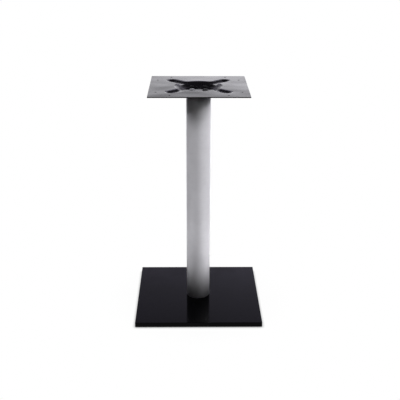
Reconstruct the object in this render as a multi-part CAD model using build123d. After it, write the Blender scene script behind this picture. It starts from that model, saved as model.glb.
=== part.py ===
from build123d import *
import os
from math import cos, radians, sin, sqrt, tan

# A free-standing table base: a square plate, a round column and a pressed top plate.
# Millimetres, +Z up, origin on the floor under the column's axis, front towards -Y.

# Whole object
overall_height = 725.0
floor_gap = 1.5  # under the base plate, with the glides screwed right in

# Base plate
base_width = 400.0
base_thickness = 15.0
base_corner_radius = 1.5
base_edge_rounding = 0.8

# Column
column_diameter = 76.1
column_wall = 2.0
disc_thickness = 10.0
disc_chamfer = 1.5
weld_clearance = 0.05  # between a disc and the tube's bore, where the weld goes

# Top plate, a pressed sheet
top_width = 300.0
top_corner_radius = 1.5
top_edge_rounding = 0.5
sheet_thickness = 3.0
wall_draft = 50.0  # degrees from upright, on every pressed wall
lip_rounding = 15.0  # over the edge that the sheet is drawn down from, as far as the channels' walls allow
floor_rounding = 4.0  # in the corner at the foot of each wall
bend_share = 0.95  # of a channel wall's height, that its two bends may take
channel_width = 31.0  # at the plate's face, between its edges before rounding
channel_reach = 131.0  # from the axis to a channel's end, along the diagonal
channel_depth = 5.5
channel_mouth_radius = 14.0  # in plan, where a channel opens into the dish
dish_depth = 13.5  # from the plate's face to the dish's floor
dish_margin = 16.0  # of the dish's floor round the column, before rounding
screw_hole_diameter = 6.5
screw_inset = 22.0  # from the plate's nearest edge
screw_offset = 86.0  # along that edge, from its middle

# Bolts that hold both plates to the column, with their washers
fixing_inset = 7.75  # from the tube's bore to the axes of four bolts, set in a square
thread_diameter = 8.0
thread_clearance = 0.05
bolt_hole_clearance = 0.5
top_bolt_length = 16.0
base_bolt_length = 20.0
head_flats = 13.0
head_height = 5.3
head_chamfer_angle = 30.0
head_face_diameter = 12.4  # the round face inside the head's chamfer
washer_diameter = 16.0
washer_thickness = 1.6
washer_clearance = 0.2
spring_washer_diameter = 14.8
spring_washer_thickness = 2.0
spring_washer_slit = 1.2
socket_clearance = 3.0  # round a washer, for a box spanner
head_sinkage = 0.6  # of a bolt head, from the base plate's underside

# Levelling glides
glide_inset = 35.0  # from the base plate's edges to a glide's axis
pad_diameter = 30.0
pad_chamfer = 1.0
pad_floor = 2.0
pad_lip_grip = 1.0  # how far the lip reaches over the stud's flange
pad_side_clearance = 0.5
pad_seat_gap = 0.2
recess_depth = 4.0
flange_diameter = 14.0
flange_thickness = 1.9
swivel_clearance = 0.05  # between the stud and the pad
key_flats = 4.0
key_depth = 3.0
key_clearance = 1.0  # round the key, in the pad's floor
blind_skin = 2.0  # left over a glide's hole
blind_clearance = 0.5  # over the stud's end

# Levels and radii that follow
base_top = floor_gap + base_thickness
dish_level = overall_height - dish_depth
column_top = dish_level - sheet_thickness
bore_radius = column_diameter / 2 - column_wall
thread_radius = thread_diameter / 2
tapped_radius = thread_radius + thread_clearance
bolt_hole_radius = thread_radius + bolt_hole_clearance
washer_stack = washer_thickness + spring_washer_thickness
counterbore_seat = floor_gap + head_sinkage + head_height + washer_stack
recess_ceiling = floor_gap + recess_depth
stud_foot = pad_floor + swivel_clearance
stud_top = base_top - blind_skin - blind_clearance
wall_run = tan(radians(wall_draft))  # of a pressed wall, for each millimetre of depth
dish_radius = column_diameter / 2 + dish_margin + dish_depth * wall_run  # at the plate's face, before rounding
bend_rise = 1 - sin(radians(wall_draft))  # of a bend on a pressed wall, for each millimetre of its radius
lip_radius = min(lip_rounding, bend_share * channel_depth / bend_rise - floor_rounding)

fixing_pitch = sqrt(2) * (bore_radius - fixing_inset)
fixing_points = list(GridLocations(fixing_pitch, fixing_pitch, 2, 2))
upside_down = (-Plane.XY).location

glide_places = {}
for row, y_side in (("front", -1), ("rear", 1)):
    for column, x_side in (("left", -1), ("right", 1)):
        reach = base_width / 2 - glide_inset
        glide_places[row + "_" + column] = Pos(x_side * reach, y_side * reach)


def upright(radius, low, high):
    """A round bar between two levels."""
    return Pos(Z=low) * Cylinder(radius, high - low, align=(Align.CENTER, Align.CENTER, Align.MIN))


def turned(*corners):
    """A solid of revolution about the column's axis, from (radius, level) corners."""
    return revolve(Plane.XZ * make_face(Polyline(*corners, close=True)), Axis.Z)


def at_each(places, piece):
    """Separate copies of one piece."""
    return Compound([place * piece.solid() for place in places])


def square_plate(width, thickness, corner_radius, rounding, level):
    """A square plate with its underside at a level and all its edges eased."""
    outline = RectangleRounded(width, width, corner_radius)
    plate = extrude(Pos(Z=level) * outline, thickness)
    return fillet(plate.faces().sort_by(Axis.Z)[0].edges() + plate.faces().sort_by(Axis.Z)[-1].edges(), rounding)


def base_plate():
    plate = square_plate(base_width, base_thickness, base_corner_radius, base_edge_rounding, floor_gap)
    for place in fixing_points:
        plate -= place * upright(bolt_hole_radius, floor_gap, base_top)
        plate -= place * upright(washer_diameter / 2 + socket_clearance, floor_gap, counterbore_seat)
    for place in glide_places.values():
        plate -= place * upright(pad_diameter / 2 + pad_side_clearance, floor_gap, recess_ceiling)
        plate -= place * upright(tapped_radius, floor_gap, base_top - blind_skin)
    return plate


def column_tube():
    return upright(column_diameter / 2, base_top, column_top) - upright(bore_radius, base_top, column_top)


def end_disc():
    """A tapped disc, with its outer face at level zero and its lead-in chamfer below."""
    disc = upright(bore_radius - weld_clearance, -disc_thickness, 0)
    disc = chamfer(disc.edges().sort_by(Axis.Z)[0], disc_chamfer)
    for place in fixing_points:
        disc -= place * upright(tapped_radius, -disc_thickness, 0)
    return disc


def pressed_outline(spread):
    """The dish and its four channels in plan, grown by a spread."""
    channel_end = channel_reach - channel_width / 2
    outline = Circle(dish_radius + spread)
    for turn in (45, 135):
        outline += Rot(Z=turn) * SlotCenterToCenter(2 * channel_end, channel_width + 2 * spread)
    mouths = outline.vertices().filter_by(lambda v: Vector(v).length < channel_end)
    return fillet(mouths, channel_mouth_radius - spread)


def pressed_form(wall):
    """The punch, with no wall, or the die, with the sheet's: they differ by one sheet thickness."""
    spread = wall / cos(radians(wall_draft))
    corner = floor_rounding + wall
    channel_floor = -channel_depth - wall
    dish_floor = -dish_depth - wall
    inside = -channel_depth / 2  # a level within the channels
    foot_radius = dish_radius + spread + dish_floor * wall_run
    inside_radius = dish_radius + spread + inside * wall_run
    channels = extrude(pressed_outline(spread), channel_floor, taper=wall_draft)
    channels = fillet(channels.edges().group_by(Axis.Z)[0], corner)
    foot = (foot_radius, dish_floor)
    section = make_face(Polyline((0, dish_floor), foot, (inside_radius, inside), (0, inside), close=True))
    section = fillet(section.vertices().sort_by_distance(foot)[0], corner)
    return channels + revolve(Plane.XZ * section, Axis.Z)


def top_plate():
    """The pressed sheet, with its face at level zero."""
    plate = square_plate(top_width, sheet_thickness, top_corner_radius, top_edge_rounding, -sheet_thickness)
    plate = plate + pressed_form(sheet_thickness) - pressed_form(0)
    for level, radius in ((0, lip_radius), (-sheet_thickness, lip_radius - sheet_thickness)):
        rim = plate.edges().filter_by_position(Axis.Z, level, level)
        rim = [edge for edge in rim if Vector(edge.center().X, edge.center().Y).length < channel_reach]
        plate = fillet(rim, radius)
    screw_far = top_width / 2 - screw_inset
    for x, y in ((screw_far, screw_offset), (screw_offset, screw_far)):
        for place in GridLocations(2 * x, 2 * y, 2, 2):
            plate -= place * upright(screw_hole_diameter / 2, -sheet_thickness, 0)
    for place in fixing_points:
        plate -= place * upright(bolt_hole_radius, -dish_depth - sheet_thickness, -dish_depth)
    return plate


def hex_bolt(length):
    """A bolt with its head's seat at level zero and its shank below."""
    head = extrude(RegularPolygon(head_flats / 2, 6, major_radius=False), head_height)
    slope = head_height / tan(radians(head_chamfer_angle))
    face_radius = head_face_diameter / 2
    head &= turned((0, 0), (face_radius + slope, 0), (face_radius, head_height), (0, head_height))
    return head + upright(thread_radius, -length, 0)


def plain_washer():
    """A washer on level zero."""
    hole_radius = thread_radius + washer_clearance
    return upright(washer_diameter / 2, 0, washer_thickness) - upright(hole_radius, 0, washer_thickness)


def spring_washer():
    """A split washer pressed flat on level zero."""
    hole_radius = thread_radius + washer_clearance
    ring = upright(spring_washer_diameter / 2, 0, spring_washer_thickness)
    ring -= upright(hole_radius, 0, spring_washer_thickness)
    slit = Box(spring_washer_diameter, spring_washer_slit, spring_washer_thickness,
               align=(Align.MIN, Align.CENTER, Align.MIN))
    return ring - slit


def fixing(bolt_length, seat):
    """The bolts and washers on a seat that faces up."""
    return {
        "bolts": at_each(fixing_points, seat * Pos(Z=washer_stack) * hex_bolt(bolt_length)),
        "washers": at_each(fixing_points, seat * plain_washer()),
        "spring_washers": at_each(fixing_points, seat * Pos(Z=washer_thickness) * spring_washer()),
    }


def glide_pad():
    """A round pad on the floor, with a pocket and a snap-in lip for the stud's flange."""
    outside = pad_diameter / 2
    pocket = flange_diameter / 2 + swivel_clearance
    pocket_top = stud_foot + flange_thickness + swivel_clearance
    lip = flange_diameter / 2 - pad_lip_grip
    key_hole = key_flats / 2 + key_clearance
    pad_top = recess_ceiling - pad_seat_gap
    pad = turned((key_hole, 0), (outside, 0), (outside, pad_top), (lip, pad_top), (lip, pocket_top),
                 (pocket, pocket_top), (pocket, pad_floor), (key_hole, pad_floor))
    rims = pad.edges().filter_by(GeomType.CIRCLE).sort_by(SortBy.RADIUS)[-2:]
    return chamfer(rims, pad_chamfer)


def glide_stud():
    """A threaded stud on its flange, with a hex socket in its lower end."""
    stud = upright(flange_diameter / 2, stud_foot, stud_foot + flange_thickness)
    stud += upright(thread_radius, stud_foot, stud_top)
    key = Pos(Z=stud_foot) * RegularPolygon(key_flats / 2, 6, major_radius=False)
    return stud - extrude(key, key_depth)


pieces = {
    "base_plate": base_plate(),
    "column_tube": column_tube(),
    "column_top_disc": Pos(Z=column_top) * end_disc(),
    "column_bottom_disc": Pos(Z=base_top) * upside_down * end_disc(),
    "top_plate": Pos(Z=overall_height) * top_plate(),
}
for name, group in fixing(top_bolt_length, Pos(Z=dish_level)).items():
    pieces["top_" + name] = group
for name, group in fixing(base_bolt_length, Pos(Z=counterbore_seat) * upside_down).items():
    pieces["base_" + name] = group
for name, place in glide_places.items():
    pieces["glide_" + name + "_pad"] = place * glide_pad()
    pieces["glide_" + name + "_stud"] = place * glide_stud()

os.makedirs("parts", exist_ok=True)
for name, piece in pieces.items():
    export_step(piece, "parts/" + name + ".step")
    print(name, len(piece.solids()), "solids,", round(piece.volume), "mm3")
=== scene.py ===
import math
import bpy
from mathutils import Matrix, Vector

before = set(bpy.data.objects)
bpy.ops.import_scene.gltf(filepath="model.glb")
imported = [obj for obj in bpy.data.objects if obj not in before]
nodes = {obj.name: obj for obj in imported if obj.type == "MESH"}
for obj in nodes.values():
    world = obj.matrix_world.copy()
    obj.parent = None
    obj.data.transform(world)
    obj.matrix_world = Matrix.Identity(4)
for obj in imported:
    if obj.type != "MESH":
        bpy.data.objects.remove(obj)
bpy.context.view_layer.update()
print("frame loaded,", len(nodes), "nodes")


def linkNew(name, data):
    obj = bpy.data.objects.new(name, data)
    bpy.context.scene.collection.objects.link(obj)
    return obj


# camera, from the plates' corners and the column's edges in the photograph
cameraSet = {
    "pictureWidth": 400,     # pixels, square
    "focalPixels": 754.2,
    "distance": 2.2765,      # metres along the floor, from the column's axis
    "height": 1.2163,
    "sideStep": 0.0054,      # to the right
    "pitch": 20.78,          # degrees down
    "yaw": 0.759,            # degrees that the object is turned from square
    "roll": 0.192,
    "sensor": 36.0,          # millimetres
    "clipEnd": 50.0,
}


def makeCamera():
    s = cameraSet
    cam = bpy.data.cameras.new("camera")
    cam.sensor_width = s["sensor"]
    cam.lens = s["focalPixels"] / s["pictureWidth"] * s["sensor"]
    cam.clip_end = s["clipEnd"]
    obj = linkNew("camera", cam)
    turn = Matrix.Rotation(math.radians(-s["yaw"]), 4, "Z")
    place = Matrix.Translation((s["sideStep"], -s["distance"], s["height"]))
    tilt = Matrix.Rotation(math.radians(90 - s["pitch"]), 4, "X")
    roll = Matrix.Rotation(math.radians(s["roll"]), 4, "Z")
    obj.matrix_world = turn @ place @ tilt @ roll
    bpy.context.scene.camera = obj
    print("camera set, lens", round(cam.lens, 1))


makeCamera()


# node helpers
def addNode(tree, kind, **values):
    node = tree.nodes.new(kind)
    for key, value in values.items():
        setattr(node, key, value)
    return node


def setIn(node, **values):
    for key, value in values.items():
        node.inputs[key.replace("_", " ")].default_value = value
    return node


def wire(tree, source, target):
    tree.links.new(source, target)


# a node's output is wired in, anything else is set on the socket
def feed(tree, socket, value):
    if isinstance(value, bpy.types.NodeSocket):
        wire(tree, value, socket)
    else:
        socket.default_value = value


def mathNode(tree, operation, *values):
    node = addNode(tree, "ShaderNodeMath", operation=operation)
    for socket, value in zip(node.inputs, values):
        feed(tree, socket, value)
    return node.outputs[0]


def vectorNode(tree, operation, *values):
    node = addNode(tree, "ShaderNodeVectorMath", operation=operation)
    for socket, value in zip(node.inputs, values):
        feed(tree, socket, value)
    isNumber = operation in ("LENGTH", "DISTANCE", "DOT_PRODUCT")
    return node.outputs["Value" if isNumber else "Vector"]


def scaleNode(tree, vector, factor):
    node = addNode(tree, "ShaderNodeVectorMath", operation="SCALE")
    wire(tree, vector, node.inputs[0])
    wire(tree, factor, node.inputs["Scale"])
    return node.outputs["Vector"]


def splitNode(tree, vector):
    node = tree.nodes.new("ShaderNodeSeparateXYZ")
    wire(tree, vector, node.inputs[0])
    return node.outputs


def joinNode(tree, **parts):
    node = tree.nodes.new("ShaderNodeCombineXYZ")
    for axis, value in parts.items():
        wire(tree, value, node.inputs[axis])
    return node.outputs[0]


def rangeNode(tree, value, low, high, toLow=0.0, toHigh=1.0, smooth=True):
    node = addNode(tree, "ShaderNodeMapRange", interpolation_type="SMOOTHSTEP" if smooth else "LINEAR")
    wire(tree, value, node.inputs["Value"])
    setIn(node, From_Min=low, From_Max=high, To_Min=toLow, To_Max=toHigh)
    return node.outputs["Result"]


def noiseNode(tree, vector, scale, detail, roughness):
    node = setIn(tree.nodes.new("ShaderNodeTexNoise"), Detail=detail, Roughness=roughness)
    wire(tree, vector, node.inputs["Vector"])
    feed(tree, node.inputs["Scale"], scale)
    return node.outputs["Fac"]


def tintNode(tree, mask, first, second):
    node = addNode(tree, "ShaderNodeMix", data_type="RGBA")
    wire(tree, mask, node.inputs[0])
    feed(tree, node.inputs[6], first)    # the mix node's colour sockets
    feed(tree, node.inputs[7], second)
    return node.outputs[2]


def bumpNode(tree, height, distance, strength=1.0, under=None):
    node = setIn(tree.nodes.new("ShaderNodeBump"), Strength=strength, Distance=distance)
    wire(tree, height, node.inputs["Height"])
    if under is not None:
        wire(tree, under, node.inputs["Normal"])
    return node.outputs["Normal"]


def faceNormal(tree):
    return tree.nodes.new("ShaderNodeNewGeometry").outputs["Normal"]


def objectPlace(tree):
    return tree.nodes.new("ShaderNodeTexCoord").outputs["Object"]


# distance from the column's axis
def axisDistance(tree, place):
    return vectorNode(tree, "LENGTH", vectorNode(tree, "MULTIPLY", place, (1.0, 1.0, 0.0)))


def mixShaders(tree, share, first, second, out):
    node = tree.nodes.new("ShaderNodeMixShader")
    wire(tree, share, node.inputs["Fac"])
    wire(tree, first.outputs[0], node.inputs[1])
    wire(tree, second.outputs[0], node.inputs[2])
    wire(tree, node.outputs[0], out.inputs["Surface"])


# every group takes a vector and then numbers, of which sizes and widths are in metres
def newGroup(name, numbers, results):
    group = bpy.data.node_groups.new(name, "ShaderNodeTree")
    group.interface.new_socket("Vector", in_out="INPUT", socket_type="NodeSocketVector")
    for label in numbers:
        group.interface.new_socket(label, in_out="INPUT", socket_type="NodeSocketFloat")
    for label in results:
        group.interface.new_socket(label, in_out="OUTPUT", socket_type="NodeSocketFloat")
    return group, group.nodes.new("NodeGroupInput").outputs, group.nodes.new("NodeGroupOutput").inputs


def placeGroup(tree, group, vector, **values):
    node = tree.nodes.new("ShaderNodeGroup")
    node.node_tree = group
    wire(tree, vector, node.inputs["Vector"])
    return setIn(node, **values)


# powder coat's orange peel
peelSet = {
    "coarse": (1.0, 0.5),    # detail and roughness of the noise
    "fine": (2.0, 0.5),
    "fineScale": 3.1,        # times the coarse noise's scale
    "fineShare": 0.35,
}


def makePeelGroup():
    s = peelSet
    group, come, go = newGroup("orangePeel", ["Size"], ["Height"])
    scale = mathNode(group, "DIVIDE", 1.0, come["Size"])
    fineScale = mathNode(group, "MULTIPLY", scale, s["fineScale"])
    coarse = noiseNode(group, come["Vector"], scale, *s["coarse"])
    fine = noiseNode(group, come["Vector"], fineScale, *s["fine"])
    wire(group, mathNode(group, "MULTIPLY_ADD", fine, s["fineShare"], coarse), go["Height"])
    return group


# slow waves that pressing and welding leave in a plate, stretched along X
waveSet = {
    "noise": (1.0, 0.4),     # detail, roughness
}


def makeWaveGroup():
    group, come, go = newGroup("sheetWave", ["Size", "Stretch"], ["Height"])
    parts = splitNode(group, come["Vector"])
    across = mathNode(group, "DIVIDE", parts["X"], come["Stretch"])
    spot = joinNode(group, X=across, Y=parts["Y"])
    scale = mathNode(group, "DIVIDE", 1.0, come["Size"])
    wire(group, noiseNode(group, spot, scale, *waveSet["noise"]), go["Height"])
    return group


# hand marks and cloudy gloss, from 0 to 1
smudgeSet = {
    "cloud": (4.0, 0.6),     # detail and roughness of the noise
    "wipe": (3.0, 0.7),
    "wipeScale": 7.0,        # times the cloud's scale
    "wipeShare": 0.3,
    "span": (0.45, 0.85),    # noise levels of a clean and a smudged spot
}


def makeSmudgeGroup():
    s = smudgeSet
    group, come, go = newGroup("smudge", ["Size"], ["Mask"])
    scale = mathNode(group, "DIVIDE", 1.0, come["Size"])
    wipeScale = mathNode(group, "MULTIPLY", scale, s["wipeScale"])
    cloud = noiseNode(group, come["Vector"], scale, *s["cloud"])
    wipe = noiseNode(group, come["Vector"], wipeScale, *s["wipe"])
    both = mathNode(group, "MULTIPLY_ADD", wipe, s["wipeShare"], cloud)
    wire(group, rangeNode(group, both, *s["span"]), go["Mask"])
    return group


# fine specks that settle on faces that look up
dustSet = {
    "speck": (2.0, 0.6),     # detail and roughness of the noise
    "speckSpan": (0.60, 0.74),
    "patch": (3.0, 0.5),
    "patchScale": 0.03,      # times the specks' scale
    "upSpan": (0.5, 0.95),   # upward part of the normal on bare and on dusty faces
}


def makeDustGroup():
    s = dustSet
    group, come, go = newGroup("dust", ["Size", "Share"], ["Mask"])
    scale = mathNode(group, "DIVIDE", 1.0, come["Size"])
    patchScale = mathNode(group, "MULTIPLY", scale, s["patchScale"])
    speck = noiseNode(group, come["Vector"], scale, *s["speck"])
    patch = noiseNode(group, come["Vector"], patchScale, *s["patch"])
    up = rangeNode(group, splitNode(group, faceNormal(group))["Z"], *s["upSpan"])
    spots = rangeNode(group, speck, *s["speckSpan"])
    mask = mathNode(group, "MULTIPLY", mathNode(group, "MULTIPLY", spots, patch), up)
    wire(group, mathNode(group, "MULTIPLY", mask, come["Share"]), go["Mask"])
    return group


# rubbed edges: where the rounded normal leaves the face's own, broken up by noise
rubSet = {
    "samples": 4,
    "edgeSpan": (0.999, 0.90),    # cosine between the two normals, inside and on an edge
    "noise": (4.0, 0.65),         # detail, roughness
    "brokenSpan": (0.42, 0.62),
}


def makeRubGroup():
    s = rubSet
    group, come, go = newGroup("edgeRub", ["Width", "Size"], ["Mask"])
    bevel = addNode(group, "ShaderNodeBevel", samples=s["samples"])
    wire(group, come["Width"], bevel.inputs["Radius"])
    bend = vectorNode(group, "DOT_PRODUCT", bevel.outputs[0], faceNormal(group))
    edge = rangeNode(group, bend, *s["edgeSpan"])
    scale = mathNode(group, "DIVIDE", 1.0, come["Size"])
    broken = rangeNode(group, noiseNode(group, come["Vector"], scale, *s["noise"]), *s["brokenSpan"])
    wire(group, mathNode(group, "MULTIPLY", edge, broken), go["Mask"])
    return group


# lines that grinding or turning leaves, across the axes that the vector is stretched along
grainSet = {
    "broad": (1.0, 3.0, 0.6),     # scale, detail and roughness of the noise
    "broadShare": 0.5,
    "fine": (4.3, 2.0, 0.6),
    "fineShare": 0.5,
}


def makeGrainGroup():
    s = grainSet
    group, come, go = newGroup("metalGrain", [], ["Tone", "Height"])
    fine = noiseNode(group, come["Vector"], *s["fine"])
    broad = mathNode(group, "MULTIPLY", noiseNode(group, come["Vector"], *s["broad"]), s["broadShare"])
    wire(group, mathNode(group, "MULTIPLY_ADD", fine, s["fineShare"], broad), go["Tone"])
    wire(group, fine, go["Height"])
    return group


peelGroup = makePeelGroup()
waveGroup = makeWaveGroup()
smudgeGroup = makeSmudgeGroup()
dustGroup = makeDustGroup()
rubGroup = makeRubGroup()
grainGroup = makeGrainGroup()
print("node groups made")


def emptyMaterial(name):
    mat = bpy.data.materials.new(name)
    mat.use_nodes = True
    tree = mat.node_tree
    tree.nodes.clear()
    return mat, tree, tree.nodes.new("ShaderNodeOutputMaterial")


def newMaterial(name):
    mat, tree, out = emptyMaterial(name)
    shader = tree.nodes.new("ShaderNodeBsdfPrincipled")
    wire(tree, shader.outputs["BSDF"], out.inputs["Surface"])
    return mat, tree, shader, objectPlace(tree)


def dress(mat, names):
    for name in names:
        mesh = nodes[name].data
        mesh.materials.clear()
        mesh.materials.append(mat)
        for poly in mesh.polygons:
            poly.material_index = 0


# roughness from clean to smudged
def smudgeGloss(tree, smudge, s):
    return rangeNode(tree, smudge.outputs["Mask"], 0.0, 1.0, *s["roughness"], smooth=False)


# colour and roughness of bare metal, which follow one mask of grain and smudges
def wireMetal(tree, shader, grain, smudge, s):
    mask = mathNode(tree, "MULTIPLY", smudge.outputs["Mask"], s["smudgeShare"])
    mask = mathNode(tree, "MULTIPLY_ADD", grain.outputs["Tone"], s["grainShare"], mask)
    rough = rangeNode(tree, mask, *s["roughSpan"], *s["roughness"], smooth=False)
    wire(tree, tintNode(tree, mask, s["light"], s["dark"]), shader.inputs["Base Color"])
    wire(tree, rough, shader.inputs["Roughness"])
    setIn(shader, Metallic=s["metal"])


# gloss black coat on the two plates, first what they share
paintSet = {
    "smudgeSize": 0.06,
    "dustSize": 0.0013,
    "rubSize": 0.004,
    "rubShare": 0.6,
    "rubDull": 0.18,              # added to the roughness of rubbed edges
    "ior": 1.5,
}
basePaintSet = {
    **paintSet,
    "color": (0.0022, 0.0018, 0.0040, 1),
    "rubColor": (0.030, 0.029, 0.031, 1),
    "dustColor": (0.16, 0.15, 0.14, 1),
    "dustShare": 0.05,
    "roughness": (0.085, 0.15),   # clean, smudged
    "specular": 0.055,
    "peelSize": 0.0028,
    "peelDepth": 0.0000040,
    "waveSize": 0.16,
    "waveStretch": 2.2,
    "waveShift": (0.0, 0.0, 0.0),
    "waveDepth": 0.00002,
    "rubWidth": 0.0012,
}
platePaintSet = {
    **paintSet,
    "color": (0.0028, 0.0026, 0.0034, 1),
    "rubColor": (0.060, 0.058, 0.060, 1),
    "dustColor": (0.20, 0.19, 0.18, 1),
    "dustShare": 0.04,
    "roughness": (0.10, 0.15),
    "specular": 1.0,
    "peelSize": 0.0026,
    "peelDepth": 0.0000045,
    "waveSize": 0.10,
    "waveStretch": 1.0,
    "waveShift": (0.017, 3.390, 0.0),
    "waveDepth": 0.0012,
    "rubWidth": 0.0010,
    "domeReach": 0.192,           # metres from the column's axis
    "domeDepth": 0.0010,
    "flatSpan": (0.93, 0.998),    # upright part of the normal on a lip and on the flat sheet
    "lipDull": 0.14,              # added to the roughness of lips and walls
}


# drawn lips and walls are duller than the flat sheet
def lipGloss(tree, gloss, s):
    upright = mathNode(tree, "ABSOLUTE", splitNode(tree, faceNormal(tree))["Z"])
    flat = rangeNode(tree, upright, *s["flatSpan"])
    dull = mathNode(tree, "ADD", gloss, s["lipDull"])
    return mathNode(tree, "MULTIPLY_ADD", flat, -s["lipDull"], dull)


# pressing leaves the sheet slightly domed round the dish
def domeNormal(tree, place, normal, s):
    dome = rangeNode(tree, axisDistance(tree, place), 0.0, s["domeReach"], 1.0, 0.0)
    return bumpNode(tree, dome, s["domeDepth"], under=normal)


def makePaint(name, s, pressed):
    mat, tree, shader, place = newMaterial(name)
    smudge = placeGroup(tree, smudgeGroup, place, Size=s["smudgeSize"])
    dust = placeGroup(tree, dustGroup, place, Size=s["dustSize"], Share=s["dustShare"])
    rub = placeGroup(tree, rubGroup, place, Width=s["rubWidth"], Size=s["rubSize"])
    peel = placeGroup(tree, peelGroup, place, Size=s["peelSize"])
    shifted = vectorNode(tree, "ADD", place, s["waveShift"])
    wave = placeGroup(tree, waveGroup, shifted, Size=s["waveSize"], Stretch=s["waveStretch"])
    color = tintNode(tree, dust.outputs["Mask"], s["color"], s["dustColor"])
    rubbed = mathNode(tree, "MULTIPLY", rub.outputs["Mask"], s["rubShare"])
    wire(tree, tintNode(tree, rubbed, color, s["rubColor"]), shader.inputs["Base Color"])
    gloss = mathNode(tree, "MULTIPLY_ADD", rub.outputs["Mask"], s["rubDull"], smudgeGloss(tree, smudge, s))
    normal = bumpNode(tree, wave.outputs["Height"], s["waveDepth"])
    if pressed:
        gloss = lipGloss(tree, gloss, s)
        normal = domeNormal(tree, place, normal, s)
    normal = bumpNode(tree, peel.outputs["Height"], s["peelDepth"], under=normal)
    wire(tree, gloss, shader.inputs["Roughness"])
    wire(tree, normal, shader.inputs["Normal"])
    setIn(shader, IOR=s["ior"], Specular_IOR_Level=s["specular"])
    return mat


dress(makePaint("basePaint", basePaintSet, pressed=False), ["base_plate"])
dress(makePaint("platePaint", platePaintSet, pressed=True), ["top_plate"])

# satin silver column, its grain running round the tube
columnSet = {
    "light": (0.775, 0.766, 0.807, 1),
    "dark": (0.590, 0.583, 0.620, 1),
    "metal": 0.42,
    "roughness": (0.41, 0.50),
    "roughSpan": (0.2, 0.8),      # mask levels of the two roughnesses
    "grainStretch": (18.0, 18.0, 1500.0),
    "grainDepth": 0.000002,
    "grainShare": 0.7,
    "smudgeSize": 0.09,
    "smudgeShare": 0.3,
}


def makeColumnSteel():
    s = columnSet
    mat, tree, shader, place = newMaterial("columnSteel")
    grain = placeGroup(tree, grainGroup, vectorNode(tree, "MULTIPLY", place, s["grainStretch"]))
    smudge = placeGroup(tree, smudgeGroup, place, Size=s["smudgeSize"])
    wireMetal(tree, shader, grain, smudge, s)
    wire(tree, bumpNode(tree, grain.outputs["Height"], s["grainDepth"]), shader.inputs["Normal"])
    return mat


dress(makeColumnSteel(), ["column_tube"])

# turned steel end discs
discSet = {
    "light": (0.42, 0.41, 0.40, 1),
    "dark": (0.30, 0.29, 0.285, 1),
    "metal": 1.0,
    "roughness": (0.28, 0.42),
    "roughSpan": (0.1, 0.9),
    "ringDensity": 1800.0,        # rings in a metre
    "ringDepth": 0.000004,
    "grainShare": 0.6,
    "smudgeSize": 0.03,
    "smudgeShare": 0.5,
}


# rings round the column's axis: distance from it and height
def ringVector(tree, place, density):
    away = mathNode(tree, "MULTIPLY", axisDistance(tree, place), density)
    height = mathNode(tree, "MULTIPLY", splitNode(tree, place)["Z"], density)
    return joinNode(tree, X=away, Z=height)


def makeDiscSteel():
    s = discSet
    mat, tree, shader, place = newMaterial("discSteel")
    grain = placeGroup(tree, grainGroup, ringVector(tree, place, s["ringDensity"]))
    smudge = placeGroup(tree, smudgeGroup, place, Size=s["smudgeSize"])
    wireMetal(tree, shader, grain, smudge, s)
    wire(tree, bumpNode(tree, grain.outputs["Height"], s["ringDepth"]), shader.inputs["Normal"])
    return mat


dress(makeDiscSteel(), ["column_top_disc", "column_bottom_disc"])

# blackened bolts and washers, with a painted highlight on two heads in the dish, bright on one and faint
# on the other
boltSet = {
    "color": (0.0030, 0.0030, 0.0034, 1),
    "rubColor": (0.020, 0.019, 0.019, 1),
    "rubWidth": 0.0006,
    "rubSize": 0.0015,
    "rubShare": 0.5,
    "paintedGlintColor": (0.19, 0.188, 0.205, 1),
    "paintedGlint": [((-0.020, -0.020, 0.718), 0.85), ((0.020, -0.020, 0.715), 0.10)],   # place in metres and share of each painted highlight
    "paintedGlintReach": (0.007, 0.014),  # metres from that place over which the painted highlight fades
    "patchSpan": (0.3, 0.6),      # grain tones where the painted highlight is duller and where it is bright
    "patchShare": (0.6, 1.0),
    "roughness": (0.55, 0.70),
    "smudgeSize": 0.006,
    "specular": 0.06,
    "grainStretch": (900.0, 900.0, 900.0),
    "grainDepth": 0.000006,
}


def makeBoltBlack():
    s = boltSet
    mat, tree, shader, place = newMaterial("boltBlack")
    grain = placeGroup(tree, grainGroup, vectorNode(tree, "MULTIPLY", place, s["grainStretch"]))
    smudge = placeGroup(tree, smudgeGroup, place, Size=s["smudgeSize"])
    rub = placeGroup(tree, rubGroup, place, Width=s["rubWidth"], Size=s["rubSize"])
    patches = rangeNode(tree, grain.outputs["Tone"], *s["patchSpan"], *s["patchShare"])
    rubbed = mathNode(tree, "MULTIPLY", rub.outputs["Mask"], s["rubShare"])
    color = tintNode(tree, rubbed, s["color"], s["rubColor"])
    # painted highlight: the heads are lightened round each given place, patchy with the grain
    for spot, share in s["paintedGlint"]:
        away = vectorNode(tree, "DISTANCE", place, spot)
        paintedGlint = rangeNode(tree, away, *s["paintedGlintReach"], share, 0.0)
        color = tintNode(tree, mathNode(tree, "MULTIPLY", paintedGlint, patches), color, s["paintedGlintColor"])
    wire(tree, color, shader.inputs["Base Color"])
    wire(tree, smudgeGloss(tree, smudge, s), shader.inputs["Roughness"])
    wire(tree, bumpNode(tree, grain.outputs["Height"], s["grainDepth"]), shader.inputs["Normal"])
    setIn(shader, Specular_IOR_Level=s["specular"])
    return mat


dress(makeBoltBlack(), [n for n in nodes if "bolts" in n or "washers" in n])

# moulded nylon glides
nylonSet = {
    "color": (0.014, 0.014, 0.015, 1),
    "scuffColor": (0.055, 0.053, 0.050, 1),
    "scuffWidth": 0.0012,
    "scuffSize": 0.002,
    "dustColor": (0.20, 0.19, 0.17, 1),
    "dustSize": 0.0008,
    "dustShare": 0.10,
    "roughness": (0.38, 0.58),
    "smudgeSize": 0.012,
    "sparkDepth": 0.000020,       # grain of a spark-eroded mould
    "sparkSize": 0.0007,
    "ior": 1.53,
}


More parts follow.
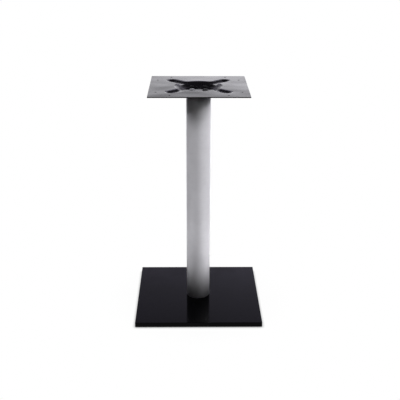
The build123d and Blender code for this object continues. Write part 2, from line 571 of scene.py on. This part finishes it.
def makeNylon():
    s = nylonSet
    mat, tree, shader, place = newMaterial("glideNylon")
    spark = placeGroup(tree, peelGroup, place, Size=s["sparkSize"])
    smudge = placeGroup(tree, smudgeGroup, place, Size=s["smudgeSize"])
    dust = placeGroup(tree, dustGroup, place, Size=s["dustSize"], Share=s["dustShare"])
    scuff = placeGroup(tree, rubGroup, place, Width=s["scuffWidth"], Size=s["scuffSize"])
    color = tintNode(tree, dust.outputs["Mask"], s["color"], s["dustColor"])
    wire(tree, tintNode(tree, scuff.outputs["Mask"], color, s["scuffColor"]), shader.inputs["Base Color"])
    wire(tree, smudgeGloss(tree, smudge, s), shader.inputs["Roughness"])
    wire(tree, bumpNode(tree, spark.outputs["Height"], s["sparkDepth"]), shader.inputs["Normal"])
    setIn(shader, IOR=s["ior"])
    return mat


dress(makeNylon(), [n for n in nodes if n.endswith("_pad")])

# zinc-plated studs, their thread as a ripple up the shank
studSet = {
    "light": (0.62, 0.62, 0.60, 1),
    "dark": (0.40, 0.40, 0.41, 1),
    "metal": 1.0,
    "roughness": (0.24, 0.40),
    "roughSpan": (0.1, 0.9),
    "grainStretch": (400.0, 400.0, 1600.0),
    "grainShare": 0.4,
    "smudgeSize": 0.005,
    "smudgeShare": 0.6,
    "threadPitch": 0.00125,
    "threadDepth": 0.0003,
    "threadStrength": 0.5,
    "crest": 0.5,                 # share of the pitch from root to crest
}


def makeStudZinc():
    s = studSet
    mat, tree, shader, place = newMaterial("studZinc")
    smudge = placeGroup(tree, smudgeGroup, place, Size=s["smudgeSize"])
    grain = placeGroup(tree, grainGroup, vectorNode(tree, "MULTIPLY", place, s["grainStretch"]))
    wireMetal(tree, shader, grain, smudge, s)
    turns = mathNode(tree, "DIVIDE", splitNode(tree, place)["Z"], s["threadPitch"])
    ripple = mathNode(tree, "PINGPONG", turns, s["crest"])
    thread = bumpNode(tree, ripple, s["threadDepth"], s["threadStrength"])
    wire(tree, thread, shader.inputs["Normal"])
    return mat


dress(makeStudZinc(), [n for n in nodes if n.endswith("_stud")])
print("materials made,", len(bpy.data.materials))

# floor and surround
studioSet = {
    "floorSides": 0.50,           # metres from the middle to the floor's edges
    "floorFront": 0.34,
    "floorBack": 0.60,
    "floorColor": (0.60, 0.60, 0.60, 1),
    "floorWhite": 0.985,          # the floor's own white by the object, the rest takes light and shadow
    "floorFade": (0.20, 0.33),    # metres from the middle over which it turns pure white
    "contactReach": 0.011,        # metres, of the shadow where the object meets the floor
    "contactSamples": 8,
    "frontLevel": (0.01, 0.01, 0.01, 1),     # dark room in front and at the sides
    "panelLevel": (0.20, 0.20, 0.205, 1),    # soft panel round that room, seen in gloss only
    "panelRise": (0.06, 0.20),    # sines of the heights where it begins and where it ends
    "panelFall": (0.55, 0.72),
    "backTurn": (0.55, 0.95),     # how far to the rear the backdrop begins and is whole
    "backStops": [                # sine of the height above the horizon, level
        (0.0, 1.22), (0.1985, 1.20), (0.211, 1.00), (0.225, 0.86), (0.245, 0.52), (0.30, 0.12),
        (0.37, 0.12), (0.41, 1.11), (0.434, 1.11), (0.444, 0.945), (0.465, 0.78), (0.50, 0.695),
        (0.58, 0.20), (0.70, 0.05),
    ],
    "lowTint": (1.0, 0.99, 1.045, 1),        # the backdrop is cooler above
    "highTint": (1.0, 0.955, 1.20, 1),
    "tintHeights": (0.24, 0.42),
    "sideReach": 0.10,            # the backdrop is lighter to the right
    "sideTilt": 0.18,
}


def makeFloor():
    s = studioSet
    side, front, back = s["floorSides"], -s["floorFront"], s["floorBack"]
    corners = [(-side, front, 0), (side, front, 0), (side, back, 0), (-side, back, 0)]
    mesh = bpy.data.meshes.new("floor")
    mesh.from_pydata(corners, [], [(0, 1, 2, 3)])
    floor = linkNew("floor", mesh)
    mat, tree, out = emptyMaterial("floorPaper")
    paper = setIn(tree.nodes.new("ShaderNodeBsdfDiffuse"), Color=s["floorColor"])
    glow = setIn(tree.nodes.new("ShaderNodeEmission"), Strength=1.0)
    contact = addNode(tree, "ShaderNodeAmbientOcclusion", samples=s["contactSamples"])
    setIn(contact, Distance=s["contactReach"])
    wire(tree, contact.outputs["AO"], glow.inputs["Color"])
    away = vectorNode(tree, "LENGTH", objectPlace(tree))
    share = rangeNode(tree, away, *s["floorFade"], s["floorWhite"], 1.0)
    path = tree.nodes.new("ShaderNodeLightPath").outputs
    seen = mathNode(tree, "MAXIMUM", path["Is Camera Ray"], path["Is Glossy Ray"])
    seen = mathNode(tree, "MAXIMUM", seen, path["Is Transmission Ray"])
    mixShaders(tree, mathNode(tree, "MULTIPLY", seen, share), paper, glow, out)
    mesh.materials.append(mat)


# white backdrop that changes with height, lighter to the right and cooler above
def backdropColor(tree, way):
    s = studioSet
    ramp = tree.nodes.new("ShaderNodeValToRGB")
    elements = ramp.color_ramp.elements
    for height, level in s["backStops"][1:-1]:    # a new ramp has its two ends
        elements.new(height)
    for element, (height, level) in zip(elements, s["backStops"]):
        element.position = height
        element.color = (level, level, level, 1)
    wire(tree, way["Z"], ramp.inputs["Fac"])
    reach, tilt = s["sideReach"], s["sideTilt"]
    side = rangeNode(tree, way["X"], -reach, reach, 1 - tilt, 1 + tilt, smooth=False)
    tint = tintNode(tree, rangeNode(tree, way["Z"], *s["tintHeights"]), s["lowTint"], s["highTint"])
    return scaleNode(tree, tint, mathNode(tree, "MULTIPLY", ramp.outputs["Color"], side))


# dark room, whose soft panel only gloss sees
def roomColor(tree, way, inGloss):
    s = studioSet
    rise = rangeNode(tree, way["Z"], *s["panelRise"])
    fall = rangeNode(tree, way["Z"], *s["panelFall"], 1.0, 0.0)
    panel = mathNode(tree, "MULTIPLY", mathNode(tree, "MULTIPLY", rise, fall), inGloss)
    return tintNode(tree, panel, s["frontLevel"], s["panelLevel"])


def makeWorld():
    world = bpy.data.worlds.new("surround")
    bpy.context.scene.world = world
    world.use_nodes = True
    tree = world.node_tree
    tree.nodes.clear()
    out = tree.nodes.new("ShaderNodeOutputWorld")
    way = splitNode(tree, tree.nodes.new("ShaderNodeTexCoord").outputs["Generated"])
    path = tree.nodes.new("ShaderNodeLightPath").outputs
    backdrop = backdropColor(tree, way)
    room = roomColor(tree, way, path["Is Glossy Ray"])
    turn = rangeNode(tree, way["Y"], *studioSet["backTurn"])
    light = setIn(tree.nodes.new("ShaderNodeBackground"), Strength=1.0)
    wire(tree, tintNode(tree, turn, room, backdrop), light.inputs["Color"])
    white = setIn(tree.nodes.new("ShaderNodeBackground"), Color=(1, 1, 1, 1), Strength=1.0)
    seen = mathNode(tree, "MAXIMUM", path["Is Camera Ray"], path["Is Transmission Ray"])
    mixShaders(tree, seen, light, white, out)


# softboxes with honeycomb grids, whose beams stop short of the column's foot
softboxSet = {
    "size": (0.9, 1.0),
    "reach": 1.1,                 # metres from the column
    "beam": 12.0,                 # degrees that the grid lets through
    # azimuth from the front, elevation, level, height of the beam's lower edge on the axis
    "lights": [
        (-95, 32, 1.22, 0.150),
        (-60, 34, 0.48, 0.145),
        (-15, 16, 0.24, 0.122),
        (-15, 32, 0.22, 0.122),
        (-15, 40, 1.12, 0.122),
        (-15, 48, 0.90, 0.122),
        (60, 20, 1.14, 0.094),
        (80, 24, 1.46, 0.096),
        (80, 32, 1.42, 0.096),
        (95, 16, 1.02, 0.096),
    ],
}


def makeSoftbox(name, azimuth, elevation, level, lowEdge):
    s = softboxSet
    wide, tall = s["size"]
    lamp = bpy.data.lights.new(name, "AREA")
    lamp.shape = "RECTANGLE"
    lamp.size, lamp.size_y = wide, tall
    lamp.energy = level * wide * tall
    lamp.spread = math.radians(s["beam"])
    obj = linkNew(name, lamp)
    turn, lift = math.radians(azimuth), math.radians(elevation)
    away = Vector((math.sin(turn) * math.cos(lift), -math.cos(turn) * math.cos(lift), math.sin(lift)))
    rise = Vector((-math.sin(turn) * math.sin(lift), math.cos(turn) * math.sin(lift), math.cos(lift)))
    obj.location = Vector((0, 0, lowEdge)) + rise * tall / 2 + away * s["reach"]
    obj.rotation_euler = (-away).to_track_quat("-Z", "Y").to_euler()
    obj.visible_camera = False
    obj.visible_glossy = False    # gloss sees the surround's soft panel instead


makeFloor()
makeWorld()
for number, light in enumerate(softboxSet["lights"], 1):
    makeSoftbox("softbox" + str(number), *light)
bpy.context.scene.view_settings.view_transform = "Standard"
print("studio made")
